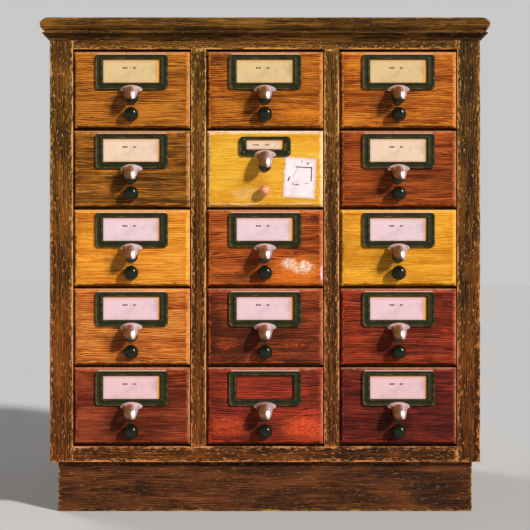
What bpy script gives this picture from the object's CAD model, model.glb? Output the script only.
import math
import random

import bmesh
import bpy
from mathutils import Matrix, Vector, noise


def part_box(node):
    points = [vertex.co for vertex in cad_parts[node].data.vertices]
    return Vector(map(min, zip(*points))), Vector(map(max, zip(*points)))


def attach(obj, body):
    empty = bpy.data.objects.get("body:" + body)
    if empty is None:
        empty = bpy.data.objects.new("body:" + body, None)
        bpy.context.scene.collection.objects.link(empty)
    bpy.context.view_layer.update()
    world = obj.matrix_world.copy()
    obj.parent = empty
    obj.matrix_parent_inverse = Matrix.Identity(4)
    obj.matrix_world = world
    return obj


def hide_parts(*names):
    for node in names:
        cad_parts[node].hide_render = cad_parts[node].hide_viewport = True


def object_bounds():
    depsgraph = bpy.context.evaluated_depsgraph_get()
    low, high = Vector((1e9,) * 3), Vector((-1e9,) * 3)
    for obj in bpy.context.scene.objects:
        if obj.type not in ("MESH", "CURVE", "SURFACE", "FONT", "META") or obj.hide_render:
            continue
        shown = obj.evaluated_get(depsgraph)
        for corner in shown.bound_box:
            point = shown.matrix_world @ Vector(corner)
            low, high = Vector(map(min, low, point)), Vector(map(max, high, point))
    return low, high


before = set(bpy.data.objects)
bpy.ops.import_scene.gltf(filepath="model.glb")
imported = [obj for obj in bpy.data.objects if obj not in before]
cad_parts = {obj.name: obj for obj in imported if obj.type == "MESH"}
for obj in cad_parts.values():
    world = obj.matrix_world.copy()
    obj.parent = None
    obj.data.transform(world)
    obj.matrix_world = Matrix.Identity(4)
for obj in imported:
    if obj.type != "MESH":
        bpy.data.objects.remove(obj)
cad_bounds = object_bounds()

# ---- Sizes, in millimetres ----
# A tray's pieces are made in its bay, whose origin is the middle of the bay's floor line at the
# face of the stiles. +X is to the right, +Y to the back and +Z up.

MM = 0.001
ROWS = range(1, 6)
COLS = range(1, 4)
SPLIT_COL = 2
ODD_TRAY = (2, 2)
EMPTY_TRAY = (5, 2)
STILE_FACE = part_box("front_frame")[0].y
FLOOR_GAP = 2
SEAM = 0.1

BEVEL = 3.5
FRONT_T = 20
TRAY_T = 12
SIDE_Z = (5, 75)
BUSH_R = 5
BORE_R = 2.55
ROD_R = 2.5
ROD_Z = 20
ODD_ROD_Z = 24
ROD_IN_KNOB = 8
THREAD_L = 12
THREAD_PITCH = 1.2
TAIL_DEPTH = 12.5
TAILS = 3
BOTTOM_Z = (7, 13)

# Width, height and middle height of a label holder's plate and of its window.
BIG_HOLDER = ((100, 49, 79.1), (78, 32, 80.1))
SMALL_HOLDER = ((71, 27.3, 85.05), (50.6, 13.3, 87.85))
TOP_EDGE = BIG_HOLDER[0][2] + BIG_HOLDER[0][1] / 2
HOLDER_T = 3
POCKET_T = 0.9
CARD_T = 0.4
# How far a card reaches past the window, and the grain depth that marks the older card behind it.
CARD_TUCK = 1.7
BACKING_MARK = 9
# The height of a pull's top, and how far down it reaches, on a big and on the small holder.
PULL_TOP, PULL_DROP = 60.6, 26.7
ODD_PULL_TOP, ODD_PULL_DROP = 80.0, 30.0
PULL_W = 22
PULL_T = 2
FLANGE_W = 31
MOUTH = 6
TONGUE_W = 17
FOLLOWER_FOOT = 24
KNOB_L = 16
KNOB_R = 10
BALL_R = 7.5

# The torn sticker's middle, size, tilt in degrees, curl at its corner, and front and back over the wood.
STICKER_X, STICKER_Z = 48, 42
STICKER_W, STICKER_H = 44, 56
STICKER_TILT = -3
STICKER_CURL = 5
STICKER_T, STICKER_GLUE = 0.28, 0.02

SIDE_FRAME_T = 20
SIDE_STILE_W = 50
SIDE_RAILS = (80, 60)
PANEL_RECESS = 6
PANEL_T = 10
OUTER_STILE_W = 32
INNER_STILE_W = 21
BOTTOM_RAIL_H = 21.5
TOP_RAIL_H = 22
BEAD = 6
BEAD_RECESS = 1.2
LINING_SHORT = 9
PLINTH_T = 20
PLANKS = 6
PLANK_GAP = 0.3


def bay_origin(row, col):
    """Where a bay's own frame starts, in metres."""
    low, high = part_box(f"tray_r{row}c{col}")
    return Vector(((low.x + high.x) / 2, STILE_FACE, low.z - FLOOR_GAP * MM))


def bay_box(kind, row, col):
    """A CAD node's corners in its bay, in millimetres."""
    origin = bay_origin(row, col)
    return [(corner - origin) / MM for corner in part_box(f"{kind}_r{row}c{col}")]


def world_box(node):
    """A CAD node's corners in the row frame, in millimetres."""
    return [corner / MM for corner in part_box(node)]


TRAY_LOW, TRAY_HIGH = bay_box("tray", 1, SPLIT_COL)
FRONT_X, FRONT_Y = TRAY_HIGH.x, TRAY_LOW.y
FRONT_Z = (TRAY_LOW.z, TRAY_HIGH.z)
TAB_T = 2
TRAY_L = TRAY_HIGH.y - TAB_T - SEAM
BACK_Y = TRAY_L - TRAY_T
HOLDER_Y = FRONT_Y - SEAM
PLATE_Y = HOLDER_Y - HOLDER_T


# ---- Mesh building ----

AXES = {"x": (0, 1, 2), "y": (1, 2, 0), "z": (2, 0, 1)}
# A distance past any face, for points that have none near.
FAR = 500
SHARP_ANGLE = 40
CORNER_STEPS = 6


class Shape:
    """A mesh being gathered, in millimetres, with the values that the wood materials read.

    grain is a point's place along, across and through its board. to_low and to_high are its
    distances from the board's faces. All of them are linear, so large faces carry them exactly.
    """

    def __init__(self):
        self.points, self.faces = [], []
        self.values = {"grain": [], "to_low": [], "to_high": []}

    def add(self, points, faces, low=(-FAR,) * 3, high=(FAR,) * 3, along="x", shift=Vector(),
            texture=None):
        start = len(self.points)
        self.points += [Vector(p) for p in points]
        self.faces += [[start + i for i in face] for face in faces]
        low, high = Vector(low), Vector(high)
        a, b, c = AXES[along]
        for p in map(Vector, texture or points):
            self.values["grain"].append(Vector((p[a], p[b], p[c])) + shift)
            self.values["to_low"].append(p - low)
            self.values["to_high"].append(high - p)
        return self

    def mesh(self, name):
        mesh = bpy.data.meshes.new(name)
        mesh.from_pydata([p * MM for p in self.points], [], self.faces)
        for key, values in self.values.items():
            layer = mesh.attributes.new(key, "FLOAT_VECTOR", "POINT")
            layer.data.foreach_set("vector", [c for v in values for c in v])
        bm = bmesh.new()
        bm.from_mesh(mesh)
        bmesh.ops.recalc_face_normals(bm, faces=bm.faces)
        bm.to_mesh(mesh)
        bm.free()
        mesh.shade_smooth()
        mesh.set_sharp_from_angle(angle=math.radians(SHARP_ANGLE))
        return mesh


def add_piece(name, shape, material, body, origin=Vector(), stands_for=()):
    """Makes a shape into an object that moves with a CAD body."""
    piece = bpy.data.objects.new(name, shape.mesh(name))
    piece.data.materials.append(material)
    piece.location = origin
    bpy.context.scene.collection.objects.link(piece)
    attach(piece, body)
    if stands_for:
        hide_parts(*stands_for)


def random_shift(rng):
    """Moves a board's grain to a place of its own."""
    return Vector([rng.uniform(-FAR, FAR) for _ in range(3)])


def limited(value, low, high):
    return max(low, min(high, value))


def mixed(a, b, share):
    return a + (b - a) * share


def band(a, b, count):
    """Faces between two closed rows of points, which start at indexes a and b."""
    return [[a + i, a + (i + 1) % count, b + (i + 1) % count, b + i] for i in range(count)]


def grid_faces(rows, cols, start=0):
    """Faces of a grid of points, one more than rows by one more than cols, that are stored row by row."""
    width = cols + 1
    corners = [start + i * width + k for i in range(rows) for k in range(cols)]
    return [[a, a + 1, a + width + 1, a + width] for a in corners]


def grid_rim(rows, cols):
    """Indexes of the points round the edge of such a grid."""
    width = cols + 1
    return (list(range(cols)) + [i * width + cols for i in range(rows)]
            + [rows * width + k for k in range(cols, 0, -1)] + [i * width for i in range(rows, 0, -1)])


def spaced(low, high, step, near):
    """Grid places from low to high: at the distances in near from both ends, and a step apart between."""
    near = [n for n in near if n < (high - low) * 0.45]
    room = high - low - 2 * near[-1]
    count = max(1, round(room / step))
    middle = [low + near[-1] + room * i / count for i in range(1, count)]
    return [low + n for n in near] + middle + [high - n for n in reversed(near)]


def lattice_box(xs, ys, zs, hole=None):
    """The gridded surface of a box. hole is the (x, z) index ranges of an opening from front to back."""
    index, points, faces = {}, [], []
    sizes = (len(xs) - 1, len(ys) - 1, len(zs) - 1)

    def corner(i, j, k):
        if (i, j, k) not in index:
            index[i, j, k] = len(points)
            points.append(Vector((xs[i], ys[j], zs[k])))
        return index[i, j, k]

    def quad(axis, level, u, v):
        """The cell at (u, v) on one face. u and v run along the two other axes."""
        cell = []
        for du, dv in ((0, 0), (1, 0), (1, 1), (0, 1)):
            at = [u + du, v + dv]
            at.insert(axis, level)
            cell.append(corner(*at))
        faces.append(cell)

    def in_hole(i, k):
        return hole and i in hole[0] and k in hole[1]

    for axis in range(3):
        nu, nv = (sizes[i] for i in range(3) if i != axis)
        for level in (0, sizes[axis]):
            for u in range(nu):
                for v in range(nv):
                    if axis != 1 or not in_hole(u, v):
                        quad(axis, level, u, v)
    if hole:
        columns, levels = hole
        for j in range(sizes[1]):
            for k in levels:
                quad(0, columns.start, j, k)
                quad(0, columns.stop, j, k)
            for i in columns:
                quad(2, levels.start, i, j)
                quad(2, levels.stop, i, j)
    return points, faces


def rounded(p, low, high, radius):
    """Moves a point of a box's surface onto the same box with rounded edges."""
    core = Vector(limited(p[i], low[i] + radius, high[i] - radius) for i in range(3))
    out = p - core
    return core + out * (radius / out.length) if out.length > radius else p


def add_board(shape, low, high, rng, along="x", soft=0.8, worn=0.6, step=12):
    """Adds a board between two corners, its arrises rounded unevenly by use."""
    low, high = Vector(map(min, low, high)), Vector(map(max, low, high))
    edge = soft + worn
    near = (0, edge * 0.35, edge * 0.8, edge * 1.4)
    grid = [spaced(low[i], high[i], step, near) for i in range(3)]
    points, faces = lattice_box(*grid)
    shift = random_shift(rng)
    most = min(high - low) * 0.45
    moved = []
    for p in points:
        radius = soft + worn * noise.noise((p + shift) * 0.07)
        moved.append(rounded(p, low, high, limited(radius, 0.15, most)))
    shape.add(moved, faces, low, high, along, shift)


def add_lathe(shape, centre, profile, steps=40, facing=-1):
    """Adds a turned solid about a line along Y. profile is (radius, distance from centre) pairs, from the
    axis back to the axis, or round a ring where no radius is 0."""
    points, rings = [], []
    for radius, reach in profile:
        y = centre[1] + facing * reach
        if radius == 0:
            rings.append([len(points)] * steps)
            points.append((centre[0], y, centre[2]))
            continue
        rings.append(range(len(points), len(points) + steps))
        for i in range(steps):
            turn = 2 * math.pi * i / steps
            x, z = radius * math.cos(turn), radius * math.sin(turn)
            points.append((centre[0] + x, y, centre[2] + z))
    pairs = list(zip(rings, rings[1:]))
    if profile[0][0] > 0:
        pairs.append((rings[-1], rings[0]))
    faces = []
    for a, b in pairs:
        for i in range(steps):
            face = [a[i - 1], a[i], b[i], b[i - 1]]
            faces.append(list(dict.fromkeys(face)))
    shape.add(points, [f for f in faces if len(f) > 2])


def arc(centre, radius, start, end, steps):
    """Points on a circle, from one angle to another, in degrees."""
    for i in range(steps + 1):
        turn = math.radians(mixed(start, end, i / steps))
        yield centre[0] + radius * math.cos(turn), centre[1] + radius * math.sin(turn)


def rounded_loop(w, h, r):
    """Outline of a rounded rectangle about the origin, counterclockwise from its right side."""
    loop = []
    for sx, sz, start in ((1, 1, 0), (-1, 1, 90), (-1, -1, 180), (1, -1, 270)):
        centre = (sx * (w / 2 - r), sz * (h / 2 - r))
        loop += arc(centre, r, start, start + 90, CORNER_STEPS)
    return loop


def add_prism(shape, outline, y0, y1, chamfer=0.0):
    """Adds a plate of an (x, z) outline between two depths, with its front edge y0 chamfered."""
    n = len(outline)
    cx = sum(p[0] for p in outline) / n
    cz = sum(p[1] for p in outline) / n
    reach = max(math.hypot(x - cx, z - cz) for x, z in outline)
    small = 1 - chamfer / reach
    towards = math.copysign(chamfer, y1 - y0)
    layers = [(y0, small), (y0 + towards, 1), (y1, 1)] if chamfer else [(y0, 1), (y1, 1)]
    points = [(cx + (x - cx) * s, y, cz + (z - cz) * s) for y, s in layers for x, z in outline]
    faces = [list(range(n)), list(range(len(points) - n, len(points)))]
    for layer in range(len(layers) - 1):
        faces += band(layer * n, (layer + 1) * n, n)
    shape.add(points, faces)


def add_screw(shape, centre, radius, turn, facing=-1):
    """Adds a slotted round-head screw that points to the front or, with facing 1, to the back."""
    cells = 12
    points = []
    cos, sin = math.cos(turn), math.sin(turn)
    for i in range(cells + 1):
        for k in range(cells + 1):
            u, v = 2 * i / cells - 1, 2 * k / cells - 1
            s, length = max(abs(u), abs(v)), math.hypot(u, v) or 1
            x, z = u * s / length * radius, v * s / length * radius
            rise = radius * 0.55 * math.sqrt(1 - 0.86 * s * s)
            if abs(u) < 0.1:
                rise -= radius * 0.28
            points.append((centre[0] + x * cos - z * sin, centre[1] + facing * rise,
                           centre[2] + x * sin + z * cos))
    faces = grid_faces(cells, cells)
    rim = grid_rim(cells, cells)
    base = range(len(points), len(points) + len(rim))
    points += [(points[i][0], centre[1] - facing * 0.3, points[i][2]) for i in rim]
    faces += [[rim[i - 1], rim[i], base[i], base[i - 1]] for i in range(len(rim))]
    faces.append(list(base))
    shape.add(points, faces)


# ---- Material building ----


def srgb(r, g, b):
    """A display colour, 0 to 255 each, as linear red, green, blue and alpha."""
    def linear(c):
        c /= 255
        return c / 12.92 if c <= 0.04045 else ((c + 0.055) / 1.055) ** 2.4

    return linear(r), linear(g), linear(b), 1.0


def shaded(colour, share):
    """A darker or lighter colour."""
    return tuple(min(1.0, c * share) for c in colour[:3]) + (1.0,)


class Value:
    """A node's output, which can be added, subtracted and multiplied."""

    def __init__(self, graph, socket):
        self.graph, self.socket = graph, socket

    def __add__(self, other):
        return self.graph.math("ADD", self, other)

    def __sub__(self, other):
        return self.graph.math("SUBTRACT", self, other)

    def __mul__(self, other):
        return self.graph.math("MULTIPLY", self, other)


class Graph:
    """The node tree of a material or the world, built with short calls on sockets and constants."""

    def __init__(self, owner):
        self.owner = owner
        owner.use_nodes = True
        self.tree = owner.node_tree

    def feed(self, socket, value):
        if isinstance(value, Value):
            self.tree.links.new(value.socket, socket)
        else:
            socket.default_value = value

    def add(self, kind, inputs, out=0, **settings):
        """Makes a node, fed with values by index or name, and returns one of its outputs."""
        node = self.tree.nodes.new(kind)
        for key, value in settings.items():
            setattr(node, key, value)
        for key, value in inputs.items():
            self.feed(node.inputs[key], value)
        return Value(self, node.outputs[out])

    def math(self, operation, a, b=0.0):
        return self.add("ShaderNodeMath", {0: a, 1: b}, operation=operation)

    def vector(self, operation, a, b=(0, 0, 0)):
        return self.add("ShaderNodeVectorMath", {0: a, 1: b}, operation=operation)

    def length(self, a):
        return self.add("ShaderNodeVectorMath", {0: a}, "Value", operation="LENGTH")

    def split(self, a):
        """The three parts of a vector."""
        x = self.add("ShaderNodeSeparateXYZ", {0: a})
        return [Value(self, part) for part in x.socket.node.outputs]

    def joined(self, x, y, z):
        return self.add("ShaderNodeCombineXYZ", {0: x, 1: y, 2: z})

    def attribute(self, name):
        return self.add("ShaderNodeAttribute", {}, "Vector", attribute_name=name)

    def here(self):
        """Place in the object's own frame, in millimetres."""
        return self.vector("MULTIPLY", self.add("ShaderNodeTexCoord", {}, "Object"), (1 / MM,) * 3)

    def noise(self, place, scale, detail=2.0, rough=0.5):
        if isinstance(scale, tuple):
            place, scale = self.vector("MULTIPLY", place, scale), 1.0
        inputs = {"Vector": place, "Scale": scale, "Detail": detail, "Roughness": rough}
        return self.add("ShaderNodeTexNoise", inputs)

    def step(self, value, start, end, low=0.0, high=1.0):
        """A smooth change from low to high as value goes from start to end."""
        inputs = {"Value": value, "From Min": start, "From Max": end, "To Min": low, "To Max": high}
        return self.add("ShaderNodeMapRange", inputs, interpolation_type="SMOOTHSTEP")

    def mix(self, share, a, b, how="MIX"):
        return self.add("ShaderNodeMix", {0: share, 6: a, 7: b}, 2, data_type="RGBA", blend_type=how)

    def ramp(self, value, stops):
        colour = self.add("ShaderNodeValToRGB", {0: value})
        marks = colour.socket.node.color_ramp.elements
        while len(marks) < len(stops):
            marks.new(0.5)
        for mark, (at, tint) in zip(marks, stops):
            mark.position, mark.color = at, tint
        return colour

    def finish(self, colour, rough, metal=0.0, height=None, depth=0.2, shine=0.5, coat=0.0):
        """Sets a material's surface. depth is the bump's real depth in millimetres."""
        values = {"Base Color": colour, "Roughness": rough, "Metallic": metal,
                  "Specular IOR Level": shine, "Coat Weight": coat}
        if height is not None:
            values["Normal"] = self.add("ShaderNodeBump", {"Height": height, "Distance": depth * MM})
        surface = self.tree.nodes["Principled BSDF"]
        for key, value in values.items():
            self.feed(surface.inputs[key], value)
        return self.owner


def new_graph(name):
    """The graph of a new material."""
    return Graph(bpy.data.materials.new(name))


def edge_distance(g):
    """Distance to a board's nearest edge: the middle one of its distances along X, Y and Z to a face."""
    to_low = g.vector("ABSOLUTE", g.attribute("to_low"))
    to_high = g.vector("ABSOLUTE", g.attribute("to_high"))
    x, y, z = g.split(g.vector("MINIMUM", to_low, to_high))
    return g.math("MAXIMUM", g.math("MINIMUM", x, y), g.math("MINIMUM", g.math("MAXIMUM", x, y), z))


def patch_mask(g, here, patch, ragged):
    """1 inside a ragged ellipse (x, z, half width, half height, strength), fading to 0 at its edge."""
    x, z, rx, rz, strength = patch
    away = g.vector("MULTIPLY", g.vector("SUBTRACT", here, (x, 0, z)), (1 / rx, 0, 1 / rz))
    return g.step(g.length(away) + ragged, 1.25, 0.55, 0.0, strength)


# ---- Materials ----

TAN = srgb(196, 138, 62)
# The growth lines' pitch in millimetres, and how far the grain's tone runs from dark to light.
LINE_PITCH = 2.6
GRAIN_SPREAD = 0.088
WOOD_SHINE = 0.1
INK_BLUR = 0.12


def oak(name, dark, mid, light, bare=TAN, grime=0.5, worn=0.5, flecks=0.0, lines=1.0,
        patches=(), object_axis=None, tall_tint=None, rough=0.5, relief=True):
    """Old varnished oak. dark, mid and light are its grain's colours and bare is the worn wood.
    patches are (ellipse, colour, share that is broken up) in the bay's frame. object_axis is the grain's
    axis for a CAD node, which has no board values. tall_tint is multiplied in towards the cabinet's foot.
    Without relief, and on a CAD node, the wood is smooth and evenly dull, as suits a piece inside."""
    g = new_graph(name)
    here = g.here()
    if object_axis:
        parts = g.split(here)
        place = g.joined(*(parts[i] for i in AXES[object_axis]))
    else:
        place = g.attribute("grain")
    bend = (g.noise(place, (0.007, 0.03, 0.03), 2.0) - 0.5) * 11.0
    bent = g.vector("ADD", place, g.joined(0.0, bend, bend))
    streaks = g.noise(bent, (0.016, 0.5, 0.5), 3.0, 0.66)
    fine = g.noise(bent, (0.05, 1.7, 1.7), 2.0, 0.6)
    broad = g.noise(bent, (0.0035, 0.085, 0.085), 2.0, 0.55)
    pores = g.step(g.noise(bent, (0.07, 2.8, 2.8), 1.0), 0.56, 0.68)
    cloud = g.noise(place, (0.011, 0.03, 0.03), 3.0, 0.6)

    # Growth lines: thin dark bands that wander, and fade in some places.
    _, across, through = g.split(bent)
    phase = (across + through) * (2 * math.pi / LINE_PITCH) + streaks * 7.0
    strength = g.step(g.noise(place, (0.03, 0.16, 0.16), 2.0), 0.36, 0.58, 0.3, 1.0)
    bands = g.step(g.math("SINE", phase), -0.1, 0.65) * strength

    board = g.noise(place, 0.0013, 0.0)
    tone = streaks * 0.6 + fine * 0.22 + (broad * 0.36 + (board * 0.22 - 0.2))
    colour = g.ramp(tone, [(0.48 - GRAIN_SPREAD, dark), (0.49, mid), (0.5 + GRAIN_SPREAD, light)])
    colour = g.mix(bands * (0.95 * lines), colour, shaded(dark, 0.42))
    colour = g.mix(pores * (0.6 * lines), colour, shaded(dark, 0.35))
    colour = g.mix(g.step(cloud, 0.47, 0.72, 0.0, grime), colour, shaded(dark, 0.55))
    colour = g.mix(g.step(cloud, 0.5, 0.3, 0.0, 0.4), colour, light)
    ragged = (g.noise(here, (0.09, 0.2, 0.24), 4.0, 0.65) - 0.5) * 1.6
    flakes = g.step(g.noise(here, (0.22, 0.3, 0.4), 4.0, 0.7), 0.5, 0.56)
    for ellipse, tint, broken in patches:
        mask = patch_mask(g, here, ellipse, ragged) * (flakes * broken + (1 - broken))
        colour = g.mix(mask, colour, tint)

    rub = g.noise(place, (0.03, 0.16, 0.16), 4.0, 0.7)
    if not object_axis:
        edge = edge_distance(g)
        if flecks:
            crackle = g.noise(place, (0.14, 0.5, 0.5), 4.0, 0.75)
            near = g.step(edge, 7.5, 0.5, -0.035, 0.075)
            fleck = g.step(crackle + near, 0.565, 0.61, 0.0, flecks)
            colour = g.mix(fleck * g.step(rub, 0.3, 0.55, 0.35, 1.0), colour, bare)
        reach = g.step(rub, 0.42, 0.68, 0.1, 2.6)
        wear = g.step(edge - reach, 0.5, -0.5) * worn
        colour = g.mix(g.step(edge, 10.0, 2.0, 0.0, grime * 0.35), colour, shaded(dark, 0.7))
        colour = g.mix(wear, colour, bare)
    if tall_tint:
        low_down = g.step(g.split(here)[2], 620.0, 60.0)
        colour = g.mix(low_down, colour, tall_tint, "MULTIPLY")
    if object_axis or not relief:
        return g.finish(colour, rough + 0.05, shine=WOOD_SHINE)
    height = tone - bands * 0.35 - wear * 0.3 - pores * 0.6
    gloss = cloud * 0.26 + rub * 0.16
    return g.finish(colour, gloss + (rough - 0.2), height=height, shine=WOOD_SHINE)


def patinated_brass(name, base, rubbed):
    """Brass under a near-black green patina, rubbed through here and there on its ridges."""
    g = new_graph(name)
    here = g.here()
    cloud = g.noise(here, 0.12, 4.0, 0.62)
    speck = g.noise(here, 1.1, 3.0, 0.7)
    colour = g.ramp(cloud, [(0.32, shaded(base, 0.6)), (0.5, base), (0.68, shaded(base, 1.4))])
    colour = g.mix(g.step(speck, 0.56, 0.7, 0.0, 0.3), colour, srgb(60, 50, 16))
    ridge = g.split(g.attribute("to_low"))[1]
    rub = g.step(ridge, 0.3, 0.0) * g.step(cloud, 0.46, 0.66, 0.02, 0.3)
    colour = g.mix(rub, colour, rubbed)
    # The top edge of the big holders is worn bright.
    top_edge = g.step(g.split(here)[2], TOP_EDGE - 1.3, TOP_EDGE - 0.8, 0.0, 0.9)
    colour = g.mix(top_edge * g.step(speck, 0.3, 0.42), colour, srgb(234, 192, 176))
    height = cloud + speck * 0.4
    return g.finish(colour, speck * 0.3 + 0.42, metal=0.1, height=height, depth=0.12, shine=0.2)


def worn_nickel(name, bright, tarnish):
    """Nickel plate: bright on its flange and along its right flank, brown where it has tarnished.
    to_low holds a point's place across the pull, from -1 to 1, and down it, from 0 to 1, with the back
    plate past 1."""
    g = new_graph(name)
    here = g.here()
    cloud = g.noise(here, 0.2, 4.0, 0.6)
    scratch = g.noise(here, (2.4, 2.4, 0.22), 3.0, 0.7)
    across, _, down = g.split(g.attribute("to_low"))
    wander = (cloud - 0.5) * 0.9
    flank = g.step(across + wander, -0.05, 0.42)
    flange = g.step(down + wander * 0.12, 0.36, 0.2)
    shine = g.math("MAXIMUM", flank, flange)
    colour = g.mix(shine * 0.92, tarnish, bright)
    colour = g.mix(g.step(scratch, 0.55, 0.75, 0.0, 0.3), colour, shaded(bright, 0.5))
    shade = g.step(down, 0.8, 1.0, 0.0, 0.85) * g.step(flank, 0.0, 1.0, 1.0, 0.35)
    colour = g.mix(shade, colour, srgb(58, 42, 20))
    colour = g.mix(g.step(down, 1.05, 1.2), colour, srgb(30, 32, 12))
    rough = cloud * 0.22 + scratch * 0.14 + 0.12
    return g.finish(colour, rough, metal=g.step(down, 1.2, 1.05, 0.1, 0.7))


def turned_metal(name, base, edge, rough=0.24, metal=0.8, shine=0.5):
    """A lathe-turned metal with faint clouds and dark specks."""
    g = new_graph(name)
    here = g.here()
    cloud = g.noise(here, 0.2, 3.0, 0.6)
    pits = g.noise(here, 1.4, 2.0, 0.6)
    colour = g.ramp(cloud, [(0.3, shaded(base, 0.6)), (0.5, base), (0.72, edge)])
    colour = g.mix(g.step(pits, 0.58, 0.72, 0.0, 0.5), colour, shaded(base, 0.4))
    return g.finish(colour, rough + 0.1, metal=metal, shine=shine)


def varnished_ball(name):
    """The pale varnished wood of the one ball knob."""
    g = new_graph(name)
    here = g.here()
    rings = g.noise(here, (0.1, 0.9, 0.5), 3.0, 0.6)
    cloud = g.noise(here, 0.22, 3.0)
    stops = [(0.32, srgb(196, 96, 54)), (0.5, srgb(232, 138, 92)), (0.68, srgb(246, 180, 140))]
    colour = g.ramp(rings, stops)
    colour = g.mix(g.step(cloud, 0.52, 0.7, 0.0, 0.4), colour, srgb(170, 76, 38))
    return g.finish(colour, cloud * 0.3 + 0.2, height=rings, depth=0.06, coat=0.3)


def old_paper(name, tint, print_marks):
    """Aged card stock. print_marks says where its short generic marks are, in its own frame."""
    g = new_graph(name)
    sheet = g.attribute("grain")
    cloud = g.noise(sheet, 0.045, 4.0, 0.6)
    fibre = g.noise(sheet, 1.6, 3.0, 0.7)
    colour = g.ramp(cloud, [(0.3, shaded(tint, 1.08)), (0.52, tint), (0.72, shaded(tint, 0.78))])
    colour = g.mix(g.step(fibre, 0.56, 0.7, 0.0, 0.22), colour, srgb(168, 112, 66))
    edge = edge_distance(g)
    colour = g.mix(g.step(edge, 5.0, 0.0, 0.0, 0.4), colour, srgb(190, 128, 78))
    x, layer, z = g.split(sheet)

    def within(value, low, high):
        """1 between two edges and 0 outside them."""
        away = g.math("ABSOLUTE", value - (low + high) / 2)
        half = (high - low) / 2
        return g.step(away, half + INK_BLUR, half - INK_BLUR)

    ink = None
    for left, right, low, high, beat, slant in print_marks:
        mark = within(x - z * slant, left, right) * within(z, low, high)
        if beat:
            mark = mark * g.step(g.math("PINGPONG", x, beat), beat * 0.1, beat * 0.35)
        ink = mark if ink is None else g.math("MAXIMUM", ink, mark)
    if ink is not None:
        faded = ink * g.step(fibre, 0.66, 0.44, 0.5, 1.0)
        colour = g.mix(faded, colour, srgb(18, 22, 10))
    colour = g.mix(g.step(layer, BACKING_MARK / 2, BACKING_MARK), colour, srgb(236, 160, 52))
    return g.finish(colour, 0.82, shine=0.2)


# ---- A tray's wooden pieces ----


def with_knot(places, centre, reach):
    """Grid places with nine evenly spaced ones round a hole's centre."""
    kept = [p for p in places if abs(p - centre) > reach * 1.12]
    return sorted(kept + [centre + reach * i / 4 for i in range(-4, 5)])


def rounded_hole(p, centre_z, square, reach, radius):
    """Moves the square rings of grid points round a hole to circles, less and less up to reach."""
    dx, dz = p.x, p.z - centre_z
    s, length = max(abs(dx), abs(dz)), math.hypot(dx, dz)
    if s > reach - 1e-6 or length < 1e-6:
        return p
    t = limited((s - square) / (reach - square), 0, 1)
    ring = radius * s / square if s <= square else mixed(radius, reach, t)
    share = mixed(ring / length, 1, t)
    return Vector((dx * share, p.y, centre_z + dz * share))


def front_shape(rod_z, rng):
    """A tray's front: a board with a hand-planed, mitred bevel and dented arrises, bored for the rod."""
    near = (0, 0.6, 1.75, 2.9, 3.5, 4.2, 5.4)
    reach, square, softness = 10, 5, 2.4
    xs = with_knot(spaced(-FRONT_X, FRONT_X, 4.2, near), 0, reach)
    zs = with_knot(spaced(*FRONT_Z, 4.2, near), rod_z, reach)
    foot, back = FRONT_Y + BEVEL, FRONT_Y + FRONT_T
    ys = [foot, foot + 3, back - 3, back - 0.6, back]
    first_x, first_z = xs.index(-square), zs.index(rod_z - square)
    hole = (range(first_x, first_x + 4), range(first_z, first_z + 4))
    points, faces = lattice_box(xs, ys, zs, hole)
    shift = random_shift(rng)
    moved = []
    for p in points:
        if abs(p.y - foot) < 1e-6:
            inset = min(FRONT_X - abs(p.x), p.z - FRONT_Z[0], FRONT_Z[1] - p.z)
            wave = noise.noise((p + shift) * 0.035)
            width = BEVEL * (1 + 0.14 * wave)
            rise = -math.log(math.exp(-softness * inset) + math.exp(-softness * width)) / softness
            rise = max(rise, 0) * BEVEL / width
            dent = max(0, noise.noise((p + shift) * 0.21) - 0.22) * 3.2
            rise -= dent * math.exp(-((inset - BEVEL) / 1.5) ** 2)
            rise -= 0.14 * (1 + noise.noise((p + shift) * 0.02)) * min(1, inset / BEVEL)
            p = Vector((p.x, foot - limited(rise, 0.0, BEVEL), p.z))
        moved.append(rounded_hole(p, rod_z, square, reach, BUSH_R + SEAM))
    low = (-FRONT_X + BEVEL, 0, FRONT_Z[0] + BEVEL)
    high = (FRONT_X - BEVEL, 0, FRONT_Z[1] - BEVEL)
    shape = Shape().add(moved, faces, low, high, "x", shift)
    # Depth counts as 0, so that a front's edges are the lines where its bevels start.
    for key in ("to_low", "to_high"):
        for value in shape.values[key]:
            value.y = 0
    return shape


def tail_outline(y_wide, y_narrow, z):
    """Side view of one dovetail, wide at one end."""
    wide, narrow = 9.5, 6.5
    return [(y_wide, z - wide), (y_narrow, z - narrow), (y_narrow, z + narrow), (y_wide, z + wide)]


def add_dovetails(shape, y_wide, y_narrow, rng):
    """Adds the visible faces of a row of dovetails on both sides of a tray."""
    pitch = (SIDE_Z[1] - SIDE_Z[0]) / TAILS
    for side in (-1, 1):
        for i in range(TAILS):
            outline = tail_outline(y_wide, y_narrow, SIDE_Z[0] + (i + 0.5) * pitch)
            x0, x1 = side * (FRONT_X - 1), side * (FRONT_X + 0.06)
            points = [(x, y, z) for x in (x0, x1) for y, z in outline]
            faces = [[0, 1, 2, 3], [4, 5, 6, 7]] + band(0, 4, 4)
            shape.add(points, faces, along="y", shift=random_shift(rng))


def sides_shape(rng):
    """A tray's two sides, and the tails that lap its front."""
    shape = Shape()
    start = FRONT_Y + FRONT_T + SEAM
    for side in (-1, 1):
        inner = (side * (FRONT_X - TRAY_T), start, SIDE_Z[0])
        add_board(shape, inner, (side * FRONT_X, TRAY_L, SIDE_Z[1]), rng, "y", soft=0.9, step=18)
    add_dovetails(shape, start - TAIL_DEPTH, start + 0.2, rng)
    return shape


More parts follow.
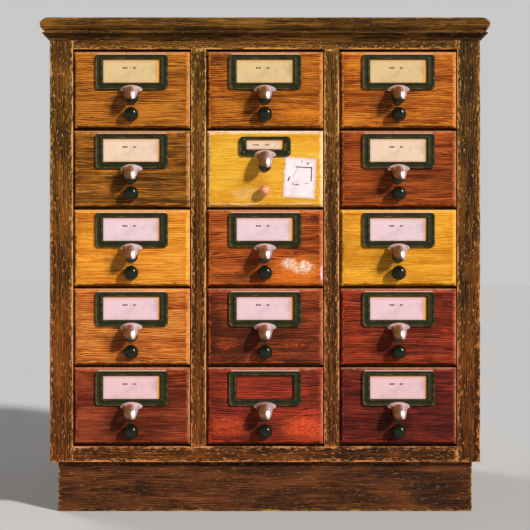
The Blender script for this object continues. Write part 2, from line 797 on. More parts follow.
def back_shape(rng):
    """A tray's back, with the ends of its pins showing through the sides."""
    shape = Shape()
    x = FRONT_X - TRAY_T - SEAM
    add_board(shape, (-x, BACK_Y, SIDE_Z[0]), (x, TRAY_L, SIDE_Z[1]), rng, "x", step=18)
    add_dovetails(shape, TRAY_L - 0.3, BACK_Y, rng)
    return shape


def bottom_shape(rng):
    """A tray's bottom board."""
    shape = Shape()
    x = FRONT_X - TRAY_T - SEAM
    low, high = (-x, FRONT_Y + FRONT_T + SEAM, BOTTOM_Z[0]), (x, BACK_Y - SEAM, BOTTOM_Z[1])
    add_board(shape, low, high, rng, "y", soft=0.4, worn=0.2, step=30)
    return shape


def bushes_shape(rod_z):
    """Brass bushes in the front and the back, each a flanged ring. The front one is sunk a little."""
    shape = Shape()
    for y, facing, length in ((FRONT_Y, -1, FRONT_T), (TRAY_L, 1, TRAY_T)):
        ring = [(BORE_R, 0.0), (BORE_R + 0.4, 0.35), (BUSH_R - 0.5, 0.35), (BUSH_R, 0.0),
                (BUSH_R, -length), (BORE_R, -length)]
        sunk = 0.45 if facing == -1 else 0.0
        add_lathe(shape, (0, y, rod_z), [(r, reach - sunk) for r, reach in ring], 32, facing)
    return shape


def stop_tab_shape():
    """The steel tab on a tray's back: a plate with a round top, held by two screws."""
    shape = Shape()
    y = TRAY_L + SEAM
    half, low, high = 15, 45, TRAY_HIGH.z - 6
    outline = [(-half, low), (half, low)] + list(arc((0, high - half), half, 0, 180, 14))
    add_prism(shape, outline, y + TAB_T, y, chamfer=0.5)
    for z in (low + 7, low + 20):
        add_screw(shape, (0, y + TAB_T - 0.3, z), 3, turn=z, facing=1)
    return shape


# ---- Label holders, cards and pulls ----


def holder_sizes(row, col):
    """The sizes of a tray's label holder: its plate's and its window's."""
    return SMALL_HOLDER if (row, col) == ODD_TRAY else BIG_HOLDER


def holder_shape(row, col):
    """A cast frame: a sloped lip round the window, a shallow dish and a raised bead near its edge."""
    (w, h, z), (window_w, window_h, window_z) = holder_sizes(row, col)
    outer = [(x, z + dz) for x, dz in rounded_loop(w, h, 5.5)]
    inner = [(x, window_z + dz) for x, dz in rounded_loop(window_w, window_h, 1.2)]
    # Share of the way out from the window, and height over the tray's front.
    profile = [(0, POCKET_T), (0, 1.5), (0.05, 2.3), (0.12, 2.8), (0.2, 2.95), (0.28, 2.7), (0.36, 2.15),
               (0.7, 2.0), (0.78, 2.35), (0.84, 2.85), (0.9, 3.0), (0.96, 2.75), (1, 2.1), (1, 0),
               (0.28, 0), (0.27, POCKET_T)]
    n = len(outer)
    points, ridge = [], []
    for share, rise in profile:
        for a, b in zip(inner, outer):
            points.append((mixed(a[0], b[0], share), HOLDER_Y - rise, mixed(a[1], b[1], share)))
            ridge.append(HOLDER_T - rise)
    faces = []
    for layer in range(len(profile)):
        faces += band(layer * n, (layer + 1) % len(profile) * n, n)
    shape = Shape().add(points, faces)
    for value, depth in zip(shape.values["to_low"], ridge):
        value.y = depth
    return shape


def card_shape(row, col, rng):
    """A card that bulges a little in its holder, cut short at its right and top, and an older, yellowed
    card behind it."""
    w, h, z = holder_sizes(row, col)[1]
    short_x, short_z = rng.uniform(1.5, 3.8), rng.uniform(0.5, 1.4)
    left, right = -w / 2 - CARD_TUCK, w / 2 - short_x
    low, high = z - h / 2 - CARD_TUCK, z + h / 2 - short_z
    xs = [mixed(left, right, i / 16) for i in range(17)]
    zs = [mixed(low, high, i / 8) for i in range(9)]
    y = HOLDER_Y - SEAM
    points, faces = lattice_box(xs, [y - CARD_T, y], zs)
    moved, flat = [], []
    for p in points:
        across = 2 * (p.x - left) / (right - left) - 1
        up = 2 * (p.z - low) / (high - low) - 1
        ripple = 0.12 * noise.noise(p * 0.05 + Vector((row * 7, 0, col * 9)))
        moved.append((p.x, p.y - (0.35 - ripple) * (1 - across ** 2) * (1 - up ** 2), p.z))
        flat.append((p.x, p.y, p.z - z))
    shape = Shape().add(moved, faces, (left, y - CARD_T, low - z), (right, y, high - z), texture=flat)
    back_x, back_z = w / 2 + CARD_TUCK, h / 2 + CARD_TUCK
    corners = (-back_x, y + 0.01, z - back_z), (back_x, y + 0.08, z + back_z)
    points, faces = lattice_box(*zip(*corners))
    shape.add(points, faces, *corners, texture=[(p.x, BACKING_MARK, p.z) for p in points])
    return shape


def pull_shape(row, col):
    """A hooded finger pull: a flared flange that flows into a hollow nose, open below, over a round tongue
    that lies on the tray's front."""
    low = bay_box("pull", row, SPLIT_COL)[0]
    top, drop = (ODD_PULL_TOP, ODD_PULL_DROP) if (row, col) == ODD_TRAY else (PULL_TOP, PULL_DROP)
    nose = drop - MOUTH
    reach = PLATE_Y - SEAM - low.y
    along, across = 24, 28

    def skin(u, v, inset):
        side = math.radians(92) * v
        flare = math.exp(-((u / 0.17) ** 1.9))
        half = mixed(PULL_W / 2 * (1 - 0.26 * u ** 2), FLANGE_W / 2, flare) - inset
        deep = mixed(9.5 * (1 - 0.3 * u), 7.0, flare) - inset * (1 - flare)
        # The side edges end sooner than the middle, so the nose is round from the front.
        turn = math.radians(94) * u * (1 - 0.13 * abs(v) ** 3 * u)
        out = (reach - inset) * math.sin(turn)
        down = (nose - inset) * (1 - math.cos(turn)) + inset
        normal = Vector((0, math.sin(turn) * reach, -math.cos(turn) * nose)).normalized()
        point = Vector((0, PLATE_Y - SEAM - out, top - down)) + normal * deep * (1 - math.cos(side))
        point.x = half * math.sin(side)
        point.y = limited(point.y, low.y, PLATE_Y - SEAM)
        return point

    points, marks = [], []
    for inset in (0, PULL_T):
        for i in range(along + 1):
            for k in range(across + 1):
                u, v = i / along, 2 * k / across - 1
                points.append(skin(u, v, inset))
                marks.append((v, 0, u) if inset == 0 else (-1, 0, 1.5))
    layer = (along + 1) * (across + 1)
    rim = grid_rim(along, across)
    faces = grid_faces(along, across) + grid_faces(along, across, layer)
    faces += [[rim[i - 1], rim[i], rim[i] + layer, rim[i - 1] + layer] for i in range(len(rim))]
    shape = Shape().add(points, faces)
    half, foot = TONGUE_W / 2, top - drop
    _, plate_h, plate_z = holder_sizes(row, col)[0]
    plate_end = plate_z - plate_h / 2 - SEAM
    outline = [(half, plate_end), (-half, plate_end)] + list(arc((0, foot + half), half, 180, 360, 20))
    add_prism(shape, outline, HOLDER_Y - 1.6, HOLDER_Y, chamfer=0.4)
    marks += [(-1, 0, 1.5)] * (len(shape.points) - len(marks))
    for value, mark in zip(shape.values["to_low"], marks):
        value.xyz = mark
    return shape


def holder_screws_shape(row, col):
    """A screw in each corner of a label holder."""
    w, h, z = holder_sizes(row, col)[0]
    shape = Shape()
    inset = 5
    for i, (sx, sz) in enumerate(((-1, -1), (1, -1), (-1, 1), (1, 1))):
        centre = (sx * (w / 2 - inset), PLATE_Y + 0.4, z + sz * (h / 2 - inset))
        add_screw(shape, centre, 2.8, turn=0.7 * i)
    return shape


def sticker_shape(rng):
    """A thin sheet of paper stuck to a tray's front, torn all round and curling up at one corner."""
    cells_x, cells_z = 20, 24
    half_w, half_h = STICKER_W / 2, STICKER_H / 2
    xs = [-half_w + STICKER_W * i / cells_x for i in range(cells_x + 1)]
    zs = [-half_h + STICKER_H * i / cells_z for i in range(cells_z + 1)]
    ys = (-STICKER_T, -STICKER_GLUE)
    points, faces = lattice_box(xs, ys, zs)
    shift = random_shift(rng)
    cos, sin = math.cos(math.radians(STICKER_TILT)), math.sin(math.radians(STICKER_TILT))
    moved = []
    for p in points:
        share = p.x / half_w
        tear = (1.6 * noise.noise(Vector((share, 0, p.z * 0.16)) + shift)
                + 1.1 * noise.noise(Vector((share, 3, p.z * 0.5)) + shift))
        x = p.x + tear * abs(share) ** 3
        ragged = 0.7 * noise.noise(Vector((p.x * 0.4, p.z, 0)) + shift)
        z = p.z + ragged * abs(p.z / half_h) ** 6
        curl = STICKER_CURL * max(0, share * 0.7 + p.z / STICKER_H - 0.75) ** 1.5
        moved.append((STICKER_X + x * cos - z * sin, FRONT_Y + p.y - curl, STICKER_Z + x * sin + z * cos))
    return Shape().add(moved, faces, (-half_w, ys[0], -half_h), (half_w, ys[1], half_h), texture=points)


# ---- Rods, knobs and followers ----


def rod_shape(rod_z):
    """A steel rod with a chamfered tip in its knob and a screw thread at its end."""
    shape = Shape()
    start = FRONT_Y - SEAM - ROD_IN_KNOB
    length = bay_box("rod", 1, SPLIT_COL)[1].y - start
    profile = [(0, 0), (ROD_R - 0.4, 0), (ROD_R, 0.4), (ROD_R, length - THREAD_L - 2)]
    reach = length - THREAD_L
    while reach < length - THREAD_PITCH:
        profile += [(ROD_R - 0.4, reach), (ROD_R, reach + THREAD_PITCH / 2)]
        reach += THREAD_PITCH
    profile += [(ROD_R - 0.5, length), (0, length)]
    add_lathe(shape, (0, start, rod_z), profile, 20, facing=1)
    return shape


def knob_shape(rod_z, ball):
    """A rod's knob: a domed metal one on a collar, or a wooden ball on a short neck."""
    if ball:
        centre = BALL_R * 1.1
        tip = centre + BALL_R
        outer = [(4.6, 0), (4.2, 0.8), (3.8, centre - BALL_R * 0.52 + 0.6)]
        for turn in map(math.radians, range(36, 169, 12)):
            outer.append((BALL_R * math.sin(turn), centre - BALL_R * math.cos(turn)))
    else:
        tip, brim = KNOB_L, 9.4
        outer = [(8.4, 0), (8.6, 0.8), (7.6, 1.6), (5.8, 2.4), (5.4, 3.6), (6.4, 4.6), (8.8, 5.2),
                 (KNOB_R, 6.2), (KNOB_R, 7.4), (9.7, 8.6), (9.3, 9.0), (9.35, brim)]
        for turn in map(math.radians, (10, 22, 34, 46, 57, 67, 76, 84)):
            outer.append((9.35 * math.cos(turn) ** 0.7, brim + (tip - brim) * math.sin(turn)))
    bore = ROD_R + SEAM
    profile = [(0, ROD_IN_KNOB), (bore, ROD_IN_KNOB), (bore, 0)] + outer + [(0, tip)]
    shape = Shape()
    add_lathe(shape, (0, FRONT_Y - SEAM, rod_z), profile, 44)
    return shape


def follower_shape(rng):
    """The wooden block that holds the cards up: a slotted foot with a board that leans back over it."""
    low, high = bay_box("follower", 1, SPLIT_COL)
    foot_z, slot = low.z + FOLLOWER_FOOT, 4
    board_t, radius = 12, 1.6
    # The board's top stays behind_top in front of the foot's back, and bridge_z is over the rod.
    behind_top, bridge_z = 14, low.z + 17
    lean = high.y - low.y - behind_top - board_t
    shape = Shape()
    for x0, x1 in ((low.x, -slot), (slot, high.x)):
        add_board(shape, (x0, low.y, low.z), (x1, high.y, foot_z), rng, "x", soft=1.2)
    add_board(shape, (-slot, low.y, bridge_z), (slot, high.y, foot_z), rng, "x", soft=0.4, worn=0.1)
    near = (0, 0.5, 1.2, 2.2)
    top = high.z - low.z
    # The board is made upright, from Y = 0 and over the follower's underside, and then leant back.
    corners = Vector((low.x, 0, -2 * radius)), Vector((high.x, board_t, top))
    points, faces = lattice_box(spaced(low.x, high.x, 12, near), spaced(0, board_t, 6, near),
                                spaced(FOLLOWER_FOOT - 3, top, 8, near))
    shift = random_shift(rng)
    moved = []
    for p in points:
        q = rounded(p, *corners, radius)
        moved.append((q.x, low.y + q.y + lean * q.z / top, low.z + q.z))
    shape.add(moved, faces, (low.x, 0, -FAR), (high.x, board_t, top), "x", shift, texture=points)
    return shape


def follower_screw_shape():
    """The follower's knurled thumb screw."""
    low, high = bay_box("follower", 1, SPLIT_COL)
    y, z = high.y - 11, low.z + FOLLOWER_FOOT + SEAM
    steps, points = 72, []
    rings = [(6.5, 0), (7.6, 0.5), (8, 1.2), (8, 6.2), (7.5, 7), (5, 7.2), (4.6, 9), (3.6, 9)]
    for r, rise in rings:
        for i in range(steps):
            turn = 2 * math.pi * i / steps
            out = r - 0.35 if r >= 7.6 and i % 2 else r
            points.append((out * math.cos(turn), y + out * math.sin(turn), z + rise))
    faces = [list(range(steps)), list(range(len(points) - steps, len(points)))]
    for a in range(0, len(points) - steps, steps):
        faces += band(a, a + steps, steps)
    return Shape().add(points, faces)


# ---- Carcase pieces, in the row frame ----


def front_frame_shape(rng):
    """Two outer and two inner stiles, and a rail at the top and the bottom."""
    low, high = world_box("front_frame")
    shape = Shape()
    inner = high.x - OUTER_STILE_W
    rails = low.z + BOTTOM_RAIL_H, high.z - TOP_RAIL_H
    for side in (-1, 1):
        corner = (side * inner, low.y, low.z)
        add_board(shape, corner, (side * high.x, high.y, high.z), rng, "z", worn=0.9, step=9)
    for col in (1, 2):
        x = (bay_origin(1, col).x + bay_origin(1, col + 1).x) / 2 / MM
        corner = (x - INNER_STILE_W / 2, low.y, rails[0] + SEAM)
        other = (x + INNER_STILE_W / 2, high.y, rails[1] - SEAM)
        add_board(shape, corner, other, rng, "z", worn=0.9, step=9)
    for z0, z1 in ((low.z, rails[0]), (rails[1], high.z)):
        corner = (-inner + SEAM, low.y, z0)
        add_board(shape, corner, (inner - SEAM, high.y, z1), rng, "x", worn=0.8, step=9)
    return shape


def side_panel_shape(side, rng):
    """A side: two stiles, two rails, a sunk panel with a bead round it, and the lining behind."""
    low, high = world_box("right_side_panel")
    x1, x0 = high.x, high.x - SIDE_FRAME_T
    y0, y1, z0, z1 = low.y, high.y, low.z, high.z
    shape = Shape()

    def board(a, b, along, **how):
        add_board(shape, (side * a[0], a[1], a[2]), (side * b[0], b[1], b[2]), rng, along, **how)

    board((low.x, y0, z0), (x0 - SEAM, y1 - LINING_SHORT, z1), "z", step=60)
    board((x0, y0, z0), (x1, y0 + SIDE_STILE_W, z1), "z")
    board((x0, y1 - SIDE_STILE_W, z0), (x1, y1, z1), "z")
    ya, yb = y0 + SIDE_STILE_W + SEAM, y1 - SIDE_STILE_W - SEAM
    za, zb = z0 + SIDE_RAILS[0], z1 - SIDE_RAILS[1]
    board((x0, ya, z0), (x1, yb, za), "y")
    board((x0, ya, zb), (x1, yb, z1), "y")
    xa, xb = x1 - PANEL_RECESS - PANEL_T, x1 - PANEL_RECESS
    board((xa, ya, za + SEAM), (xb, yb, zb - SEAM), "z", soft=0.3, worn=0.1, step=24)
    beads = (("z", ya, ya + BEAD, za, zb), ("z", yb - BEAD, yb, za, zb),
             ("y", ya + BEAD, yb - BEAD, za, za + BEAD), ("y", ya + BEAD, yb - BEAD, zb - BEAD, zb))
    for along, near, far, foot, head in beads:
        board((xb, near, foot), (x1 - BEAD_RECESS, far, head), along, soft=2.2, worn=0.3)
    return shape


def top_board_shape(rng):
    """The top, with a thumb moulding along its front and sides."""
    low, high = world_box("top_board")
    # Height over the board's underside, and how far the edge is set in there.
    moulding = [(0, 4.6), (3.6, 4.6), (4, 3.4), (5.4, 1.8), (8, 0.5), (11, 0), (14.4, 0.7), (17.2, 2.6),
                (19.4, 5.2), (21, 8.2), (22, 12)]
    xs = spaced(low.x, high.x, 14, (0, 1, 3, 7, 13))
    ys = spaced(low.y, high.y, 14, (0, 1, 3, 7, 13))
    points, faces = lattice_box(xs, ys, [low.z + rise for rise, _ in moulding])
    shift = random_shift(rng)
    insets = {round(low.z + rise, 3): inset for rise, inset in moulding}
    depth = high.y - low.y
    moved = []
    for p in points:
        inset = insets[round(p.z, 3)] + 0.5 * max(0, noise.noise((p + shift) * 0.06))
        sag = 0.25 * abs(noise.noise((p + shift) * 0.012)) if p.z > high.z - 1e-3 else 0
        y = high.y - (high.y - p.y) * (1 - inset / depth)
        moved.append((p.x * (1 - inset / high.x), y, p.z - sag))
    return Shape().add(moved, faces, low - Vector((0, 0, 4)), high, "x", shift, texture=points)


def top_moulding_shape(rng):
    """A small cove strip in the corner under the top board, along its front and both sides."""
    low, high = world_box("front_frame")
    back = world_box("right_side_panel")[1].y
    size, fillet, lap = 9, 1.2, 0.02
    # Distance out from the carcase and height under the board, as a cove between two fillets.
    section = [(0, 0), (size, 0), (size, -fillet)]
    section += list(arc((size, -size), size - 1.4, 90, 180, 7)) + [(fillet, -size), (0, -size)]
    out, front = high.x + lap, low.y - lap
    route = [((-1, 0), (-out, back)), ((-1, -1), (-out, front)),
             ((1, -1), (out, front)), ((1, 0), (out, back))]
    points, n = [], len(section)
    for (dx, dy), (x, y) in route:
        points += [(x + dx * o, y + dy * o, high.z - lap + down) for o, down in section]
    faces = [list(range(n)), list(range(3 * n, 4 * n))]
    for a in range(0, 3 * n, n):
        faces += band(a, a + n, n)
    return Shape().add(points, faces, shift=random_shift(rng))


def plinth_shape(rng):
    """Four boards that stand on the floor."""
    low, high = world_box("plinth")
    shape = Shape()
    for y0, y1 in ((low.y, low.y + PLINTH_T), (high.y - PLINTH_T, high.y)):
        add_board(shape, (low.x, y0, 0), (high.x, y1, high.z), rng, "x", worn=1.2)
    front, back = low.y + PLINTH_T + SEAM, high.y - PLINTH_T - SEAM
    for x0, x1 in ((low.x, low.x + PLINTH_T), (high.x - PLINTH_T, high.x)):
        add_board(shape, (x0, front, 0), (x1, back, high.z), rng, "y", worn=1.2)
    return shape


def plank_lefts(low, high):
    """The left edges of the back's planks, and how wide a plank is."""
    width = (high.x - low.x) / PLANKS
    return [low.x + i * width for i in range(PLANKS)], width


def back_panel_shape(rng):
    """The back: planks side by side."""
    low, high = world_box("back_panel")
    shape = Shape()
    lefts, width = plank_lefts(low, high)
    for x in lefts:
        corner = (x + PLANK_GAP, low.y, low.z)
        add_board(shape, corner, (x + width - PLANK_GAP, high.y, high.z), rng, "z", soft=1.6, step=20)
    return shape


def back_screws_shape():
    """Six screws in each plank of the back."""
    low, high = world_box("back_panel")
    lefts, width = plank_lefts(low, high)
    shape = Shape()
    for i, left in enumerate(lefts):
        for share in (0.18, 0.82):
            for z in (low.z + 14, (low.z + high.z) / 2, high.z - 14):
                centre = (left + share * width, high.y - 0.9, z)
                add_screw(shape, centre, 3.2, turn=i * 1.3 + z, facing=1)
    return shape


# ---- Looks of the trays ----

# The record's slot, and the grain's dark, middle and light colours, for each row and column.
TRAY_LOOKS = {
    (1, 1): ("oak_orange_brown", (98, 50, 8), (160, 88, 20), (206, 126, 38)),
    (1, 2): ("oak_golden_brown", (104, 46, 5), (174, 90, 16), (214, 128, 38)),
    (1, 3): ("oak_orange_brown", (132, 58, 8), (196, 100, 20), (226, 138, 44)),
    (2, 1): ("oak_dark_brown", (82, 45, 6), (136, 82, 20), (206, 128, 38)),
    (2, 2): ("oak_yellow", (216, 148, 32), (228, 166, 40), (236, 184, 66)),
    (2, 3): ("oak_red_brown", (96, 36, 6), (148, 62, 13), (190, 92, 28)),
    (3, 1): ("oak_golden_brown", (184, 94, 18), (221, 132, 31), (240, 166, 58)),
    (3, 2): ("oak_orange_red", (104, 42, 4), (164, 73, 20), (208, 104, 40)),
    (3, 3): ("oak_yellow", (204, 120, 18), (226, 148, 26), (240, 172, 52)),
    (4, 1): ("oak_orange_brown", (150, 68, 18), (198, 102, 36), (226, 142, 62)),
    (4, 2): ("oak_red_brown", (84, 32, 10), (140, 57, 25), (188, 82, 42)),
    (4, 3): ("oak_orange_red", (84, 24, 10), (132, 42, 19), (176, 66, 32)),
    (5, 1): ("oak_dark_red", (82, 28, 12), (130, 51, 24), (174, 80, 42)),
    (5, 2): ("oak_orange_red", (74, 22, 10), (126, 44, 24), (178, 60, 36)),
    (5, 3): ("oak_dark_red", (64, 17, 11), (108, 32, 21), (148, 52, 33)),
}
GLOW = srgb(232, 122, 28)
RED_GLOW = srgb(226, 82, 40)
EMBER = srgb(206, 84, 28)
DEEP = srgb(44, 20, 7)
CREAM = srgb(240, 200, 160)
RESIDUE = srgb(238, 220, 192)
# Patches of another colour: an ellipse in the bay (x, z, half width, half height, strength), the colour,
# and how far it is broken up.
TRAY_PATCHES = {
    (1, 2): [((50, 18, 36, 12, 0.5), srgb(226, 130, 20), 0.4), ((-58, 96, 30, 12, 0.6), DEEP, 0)],
    (2, 2): [((-14, 50, 24, 16, 0.4), srgb(206, 122, 30), 0.3),
             ((58, 88, 20, 12, 0.45), srgb(222, 140, 40), 0.4),
             ((-64, 14, 22, 14, 0.35), srgb(208, 126, 28), 0.4),
             ((-20, 20, 26, 10, 0.4), srgb(248, 212, 140), 0.5)],
    (3, 2): [((46, 24, 33, 20, 0.8), GLOW, 0.45), ((-44, 12, 30, 9, 0.4), DEEP, 0),
             ((36, 8, 42, 8, 0.55), GLOW, 0.5), ((34, 33, 10, 8, 1.0), RESIDUE, 0.6),
             ((56, 28, 11, 9, 1.0), RESIDUE, 0.6), ((44, 25, 8, 5, 0.9), RESIDUE, 0.8),
             ((68, 94, 8, 5, 0.9), DEEP, 0.5), ((79.5, 20, 3.4, 13, 1.0), srgb(236, 206, 214), 0)],
    (4, 2): [((-52, 16, 40, 18, 0.85), DEEP, 0.3), ((38, 29, 17, 5, 0.6), EMBER, 0.85),
             ((-70, 60, 12, 40, 0.5), DEEP, 0), ((0, 44, 70, 12, 0.6), DEEP, 0.3),
             ((-54, 29, 16, 5, 0.6), EMBER, 0.85), ((30, 14, 50, 16, 0.5), DEEP, 0.5)],
    (5, 2): [((58, 22, 32, 20, 0.9), RED_GLOW, 0.55), ((-52, 24, 28, 16, 0.5), RED_GLOW, 0.6),
             ((66, 84, 9, 26, 0.5), DEEP, 0.3), ((-4, 10, 80, 7, 0.6), DEEP, 0.4),
             ((-66, 70, 12, 30, 0.5), DEEP, 0.4)],
}
# Patches that every front has, each an ellipse and how far it is broken up. First the dark ones: the left
# and bottom bevels, and the wood behind the pull. Then the rubbed top and right bevels.
GRIMY = (((-80.5, 54.5, 4.6, 70, 0.9), 0.15), ((0, 2.6, 100, 3.4, 0.85), 0.2),
         ((-18, 32, 20, 22, 0.5), 0.3))
RUBBED = (((81.2, 54.5, 3.6, 68, 0.95), 0.3), ((8, 107.2, 100, 3.2, 0.9), 0.3))
PAPER_TINTS = [srgb(208, 180, 130), srgb(222, 193, 168), srgb(218, 190, 197), srgb(219, 186, 193),
               srgb(217, 180, 184)]

# Marks on paper: left, right, low and high edges from its middle, the beat of its strokes and its slant.
BIG_MARKS = [(-13, -5.6, 3.2, 5.8, 0.9, 0), (-2.4, -0.6, 4.2, 4.8, 0, 0), (2, 6.4, 3.2, 5.8, 0.95, 0)]
SMALL_MARKS = [(-17, -8, -1.4, 0.6, 0.8, 0), (0, 6, -1.4, 0.6, 0.85, 0)]
# The sticker's print: an open frame with one leaning side, and a few short strokes.
STICKER_MARKS = [(-6.9, 16.6, 14.0, 15.6, 0, 0), (14.9, 16.6, -4.2, 15, 0, 0),
                 (-15.2, -13.2, -5.3, 1, 0, 0.4), (-10.4, -9.8, 1, 14.6, 0, 0.48),
                 (-6.9, -0.5, -10.2, -8.8, 0, 0), (-9.4, -8.4, -10.4, -6.2, 0, 0),
                 (7.4, 12.4, -7.6, -6.6, 1.1, 0), (-5.4, -4.4, 20, 24.4, 0, 0.3),
                 (1.6, 3.4, 19.4, 22.6, 0.8, 0.4), (14.6, 15.8, 18.4, 21.4, 0, -0.3)]


def make_materials():
    """The finishes that several pieces share."""
    dark_wood = dict(bare=srgb(216, 160, 84), tall_tint=(1.0, 0.72, 0.9, 1.0))
    stile = (srgb(44, 27, 5), srgb(86, 54, 11), srgb(134, 84, 24))
    top = (srgb(58, 36, 9), srgb(108, 70, 19), srgb(158, 104, 36), srgb(200, 142, 70))
    plinth = (srgb(44, 23, 9), srgb(80, 42, 18), srgb(122, 66, 30))
    inner = (srgb(112, 66, 26), srgb(166, 108, 48), srgb(200, 142, 76), srgb(214, 164, 98))
    pale = (srgb(140, 92, 44), srgb(190, 136, 72), srgb(216, 168, 104), srgb(222, 180, 120))
    made = {
        "stiles": oak("oak_stiles", *stile, worn=0.8, flecks=0.85, grime=0.6, **dark_wood),
        "sides": oak("oak_sides", *stile, worn=0.6, flecks=0.3, grime=0.55, **dark_wood),
        "top": oak("oak_top", *top, worn=0.6, flecks=0.3, rough=0.62),
        "plinth": oak("oak_plinth", *plinth, worn=0.7, flecks=0.4, grime=0.8),
        "inner": oak("inner_wood", *inner, worn=0.35, lines=0.4, rough=0.6, relief=False),
        "pale": oak("pale_wood", *pale, grime=0.45, worn=0.3, lines=0.4, rough=0.62, relief=False),
        "brass": patinated_brass("dark_brass", srgb(33, 35, 8), srgb(196, 156, 96)),
        "bush": turned_metal("bush_brass", srgb(150, 104, 42), srgb(190, 146, 70), 0.3),
        "nickel": worn_nickel("bright_nickel", srgb(244, 216, 220), srgb(170, 112, 68)),
        "steel": turned_metal("rod_steel", srgb(158, 150, 138), srgb(196, 190, 180), 0.22, 1.0),
        "knob": turned_metal("dark_knob", srgb(17, 22, 8), srgb(32, 34, 13), 0.12, 0.0, 0.3),
        "ball": varnished_ball("knob_wood"),
        "sticker": old_paper("sticker_paper", srgb(238, 220, 222), STICKER_MARKS),
        "paper_small": old_paper("label_paper_small", PAPER_TINTS[1], SMALL_MARKS),
    }
    for row, tint in zip(ROWS, PAPER_TINTS):
        made[f"paper_{row}"] = old_paper(f"label_paper_{row}", tint, BIG_MARKS)
    return made


def tray_oak(row, col):
    """A tray front's wood, in the colours of its place."""
    dark, mid, light = (srgb(*colour) for colour in TRAY_LOOKS[row, col][1:])
    yellow = (row, col) == ODD_TRAY
    smooth = row == 3 and col != SPLIT_COL
    rubbed = srgb(246, 226, 216) if yellow else tuple(mixed(a, b, 0.4) for a, b in zip(light, CREAM))
    grime = shaded(dark, 0.5) if yellow else DEEP
    patches = [(ellipse, grime, broken) for ellipse, broken in GRIMY]
    patches += TRAY_PATCHES.get((row, col), [])
    patches += [(ellipse, rubbed, broken) for ellipse, broken in RUBBED]
    return oak(f"oak_r{row}c{col}", dark, mid, light, patches=patches,
               bare=srgb(250, 222, 176) if yellow else shaded(light, 1.25),
               grime=0.12 if yellow else 0.42,
               lines=0.3 if yellow else 0.5 if smooth else 1.0)


# ---- Assembly ----


def make_tray(row, col, shared):
    """One tray's pieces, on its three bodies: the tray, its rod and its follower."""
    place = f"r{row}c{col}"
    tray, rod, follower = f"tray_{place}", f"rod_{place}", f"follower_{place}"
    rng = random.Random(place)
    origin = bay_origin(row, col)
    odd = (row, col) == ODD_TRAY
    rod_z = ODD_ROD_Z if odd else ROD_Z
    fittings = f"pull_{place}" if col == SPLIT_COL else tray

    def put(kind, shape, look, slot, body=tray, stands_for=None):
        material = shared[look] if isinstance(look, str) else look
        add_piece(f"{kind}_{place}", shape, material, body, origin, (stands_for or body,))

    def fit(kind, shape, look, slot):
        put(kind, shape, look, slot, stands_for=fittings)

    put("front", front_shape(rod_z, rng), tray_oak(row, col), TRAY_LOOKS[row, col][0])
    put("sides", sides_shape(rng), "inner", "inner_wood")
    put("back", back_shape(rng), "inner", "inner_wood")
    put("bottom", bottom_shape(rng), "pale", "inner_wood")
    put("bushes", bushes_shape(rod_z), "bush", "rod_steel")
    put("stop_tab", stop_tab_shape(), "steel", "rod_steel")
    fit("label_holder", holder_shape(row, col), "brass", "dark_brass")
    fit("finger_pull", pull_shape(row, col), "nickel", "bright_nickel")
    if (row, col) != EMPTY_TRAY:
        paper = "paper_small" if odd else f"paper_{row}"
        fit("label_card", card_shape(row, col, rng), paper, "label_paper")
    if odd:
        fit("holder_screws", holder_screws_shape(row, col), "nickel", "bright_nickel")
        put("sticker", sticker_shape(rng), "sticker", "label_paper")
    knob, knob_slot = ("ball", "knob_wood") if odd else ("knob", "dark_brass")
    put("card_rod", rod_shape(rod_z), "steel", "rod_steel", rod)
    put("knob", knob_shape(rod_z, odd), knob, knob_slot, rod)
    put("follower_block", follower_shape(rng), "pale", "inner_wood", follower)
    put("follower_screw", follower_screw_shape(), "bush", "rod_steel", follower)


def make_carcase(shared):
    """The fixed cabinet round the trays."""
    rng = random.Random("carcase")

    def put(name, shape, look, node, slot="carcase_oak"):
        add_piece(name, shape, shared[look], "carcase", stands_for=(node,))

    put("front_frame_wood", front_frame_shape(rng), "stiles", "front_frame")
    put("left_side_panel_wood", side_panel_shape(-1, rng), "sides", "left_side_panel")
    put("right_side_panel_wood", side_panel_shape(1, rng), "sides", "right_side_panel")
    put("top_board_wood", top_board_shape(rng), "top", "top_board")
    put("plinth_wood", plinth_shape(rng), "plinth", "plinth")
    put("back_panel_wood", back_panel_shape(rng), "inner", "back_panel", "inner_wood")
    put("top_moulding", top_moulding_shape(rng), "sides", "top_board")
    put("back_screws", back_screws_shape(), "steel", "back_panel", "rod_steel")
    hidden = (srgb(92, 54, 20), srgb(140, 88, 38), srgb(176, 120, 60))
    cad_boards = {"base_board": "x", "column_partitions": "z", "tray_shelves": "y", "stop_battens": "x"}
    for node, axis in cad_boards.items():
        look = oak(f"cad_{node}", *hidden, grime=0.6, lines=0.7, object_axis=axis, rough=0.6)
        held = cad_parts[node].data.materials
        held.clear()
        held.append(look)


# ---- Stage ----

MID_HEIGHT = (cad_bounds[0].z + cad_bounds[1].z) / 2
VIEW_HEIGHT = (cad_bounds[1].z - cad_bounds[0].z) * 1.07
HORIZON_LIGHT = 0.58
SKY_LIGHT = 0.1
KEY_SIDE = Vector((0.7, -0.68, 0.52))
KEY_STRENGTH = 4.2
KEY_ANGLE = 6
BACK_SIDE = Vector((-0.62, 0.7, 0.45))
BACK_STRENGTH = 1.3
BACK_ANGLE = 24


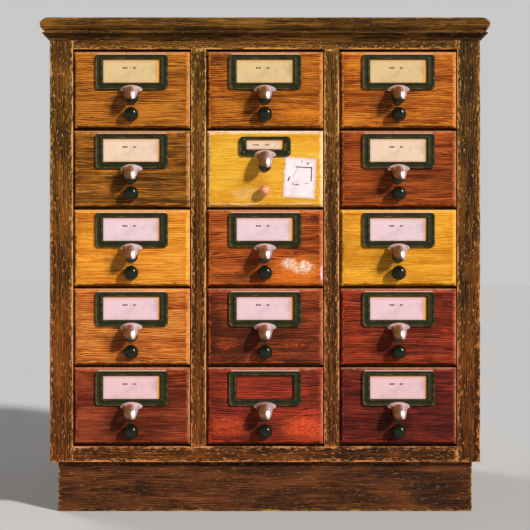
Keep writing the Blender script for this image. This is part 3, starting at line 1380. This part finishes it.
def add_sun(name, side, strength, angle):
    """A soft light from far off on one side."""
    light = bpy.data.lights.new(name, "SUN")
    light.energy = strength
    light.angle = math.radians(angle)
    light.color = (1.0, 0.98, 0.95)
    lamp = bpy.data.objects.new(name, light)
    lamp.rotation_mode = "QUATERNION"
    lamp.rotation_quaternion = (-side).to_track_quat("-Z", "Y")
    bpy.context.scene.collection.objects.link(lamp)


def make_stage():
    """A plain pale floor, a pale surround that is brightest near the horizon, a key light from the right of
    the front, and a weak light behind for the sides that it doesn't reach."""
    bpy.ops.mesh.primitive_plane_add(size=40)
    floor = bpy.context.active_object
    floor.name = "floor"
    g = new_graph("floor_paint")
    tone = g.noise(g.here(), 0.0008, 3.0)
    colour = g.ramp(tone, [(0.3, srgb(202, 202, 203)), (0.7, srgb(206, 206, 207))])
    floor.data.materials.append(g.finish(colour, 0.85, shine=0.1))

    sky = Graph(bpy.data.worlds.new("surround"))
    bpy.context.scene.world = sky.owner
    rise = sky.math("ABSOLUTE", sky.split(sky.add("ShaderNodeTexCoord", {}, "Generated"))[2])
    surround = sky.tree.nodes["Background"]
    sky.feed(surround.inputs["Strength"], sky.step(rise, 0.2, 0.36, HORIZON_LIGHT, SKY_LIGHT))
    sky.feed(surround.inputs["Color"], (1, 1, 1, 1))

    add_sun("key", KEY_SIDE, KEY_STRENGTH, KEY_ANGLE)
    add_sun("back_light", BACK_SIDE, BACK_STRENGTH, BACK_ANGLE)


def make_camera():
    """Straight on, at the cabinet's mid height, through a long lens."""
    camera = bpy.data.objects.new("camera", bpy.data.cameras.new("camera"))
    camera.data.lens = 85
    camera.data.sensor_width = 36
    distance = VIEW_HEIGHT / camera.data.sensor_width * camera.data.lens
    camera.location = (0, STILE_FACE - distance, MID_HEIGHT)
    camera.rotation_euler = (math.radians(90), 0, 0)
    bpy.context.scene.collection.objects.link(camera)
    bpy.context.scene.camera = camera


bpy.context.scene.view_settings.view_transform = "Standard"
looks = make_materials()
for tray_row in ROWS:
    for tray_col in COLS:
        make_tray(tray_row, tray_col, looks)
make_carcase(looks)
make_stage()
make_camera()
